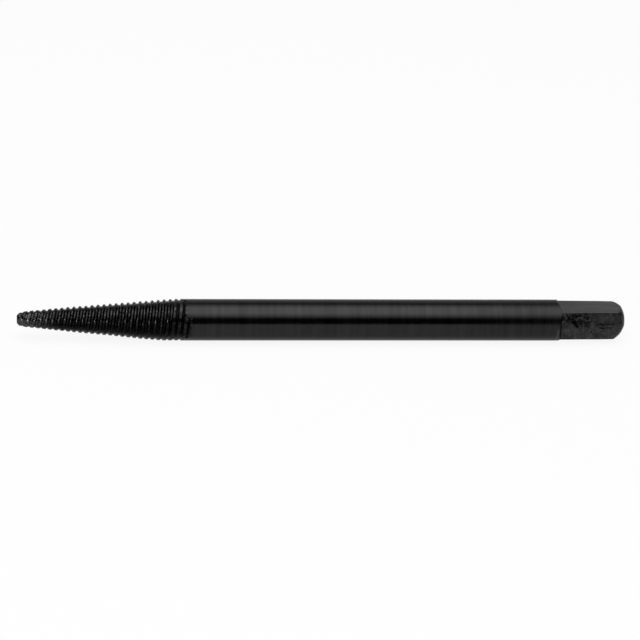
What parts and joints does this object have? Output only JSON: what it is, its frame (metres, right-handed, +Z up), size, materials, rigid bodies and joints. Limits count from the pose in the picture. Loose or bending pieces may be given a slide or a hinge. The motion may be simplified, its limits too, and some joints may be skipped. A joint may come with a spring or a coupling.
{
  "type": "screw extractor",
  "caption": "Screw extractor with a tapered left-hand threaded nose, a plain round shank and a square drive end, blackened all over.",
  "frame": {"origin": "on the floor below the middle of the extractor, which lies on its round shank: centre of the bounding box's bottom face", "axes": "+X along the extractor from the threaded nose towards the square drive end, +Z up, square to one drive flat, +Y to the rear"},
  "size_m": [0.1, 0.0068, 0.0068],
  "materials": {
    "blackened_steel": "satin"
  },
  "bodies": {
    "root": {"screw_extractor": "blackened_steel"}
  },
  "joints": []
}
